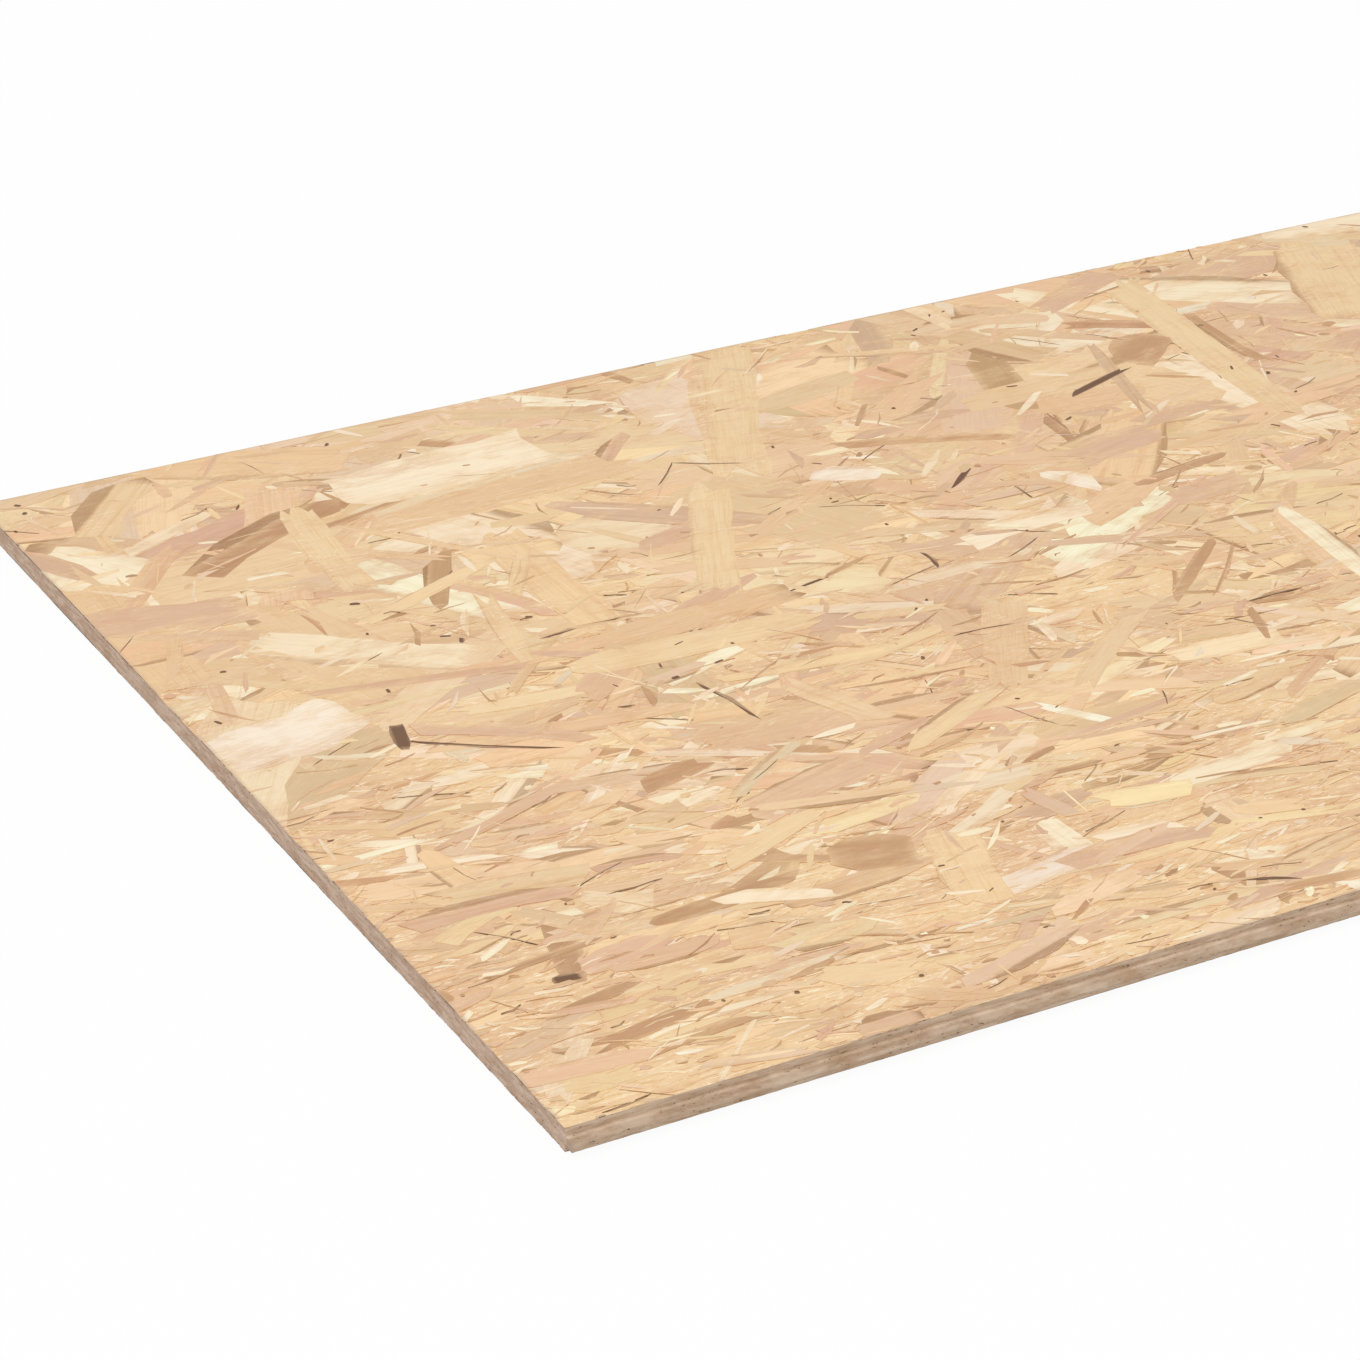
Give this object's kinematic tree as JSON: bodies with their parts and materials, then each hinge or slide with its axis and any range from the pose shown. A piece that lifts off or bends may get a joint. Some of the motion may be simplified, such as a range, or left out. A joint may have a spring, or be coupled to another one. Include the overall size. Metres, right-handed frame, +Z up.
{
  "type": "tongue and groove osb board",
  "caption": "Flat oriented strand board for floors, walls and roofs, with a tongue on one long edge, a groove on the other and square ends.",
  "frame": {"origin": "under the middle of the bounding box, on the lower face", "axes": "+X along the board, +Y across it towards the groove, +Z up out of the upper face; the tongue is on the -Y edge"},
  "size_m": [2.05, 0.682, 0.012],
  "materials": {
    "strand_board": "pressed softwood strands, unsanded, matt with a faint resin sheen"
  },
  "bodies": {
    "root": {"osb_board": "strand_board"}
  },
  "joints": []
}
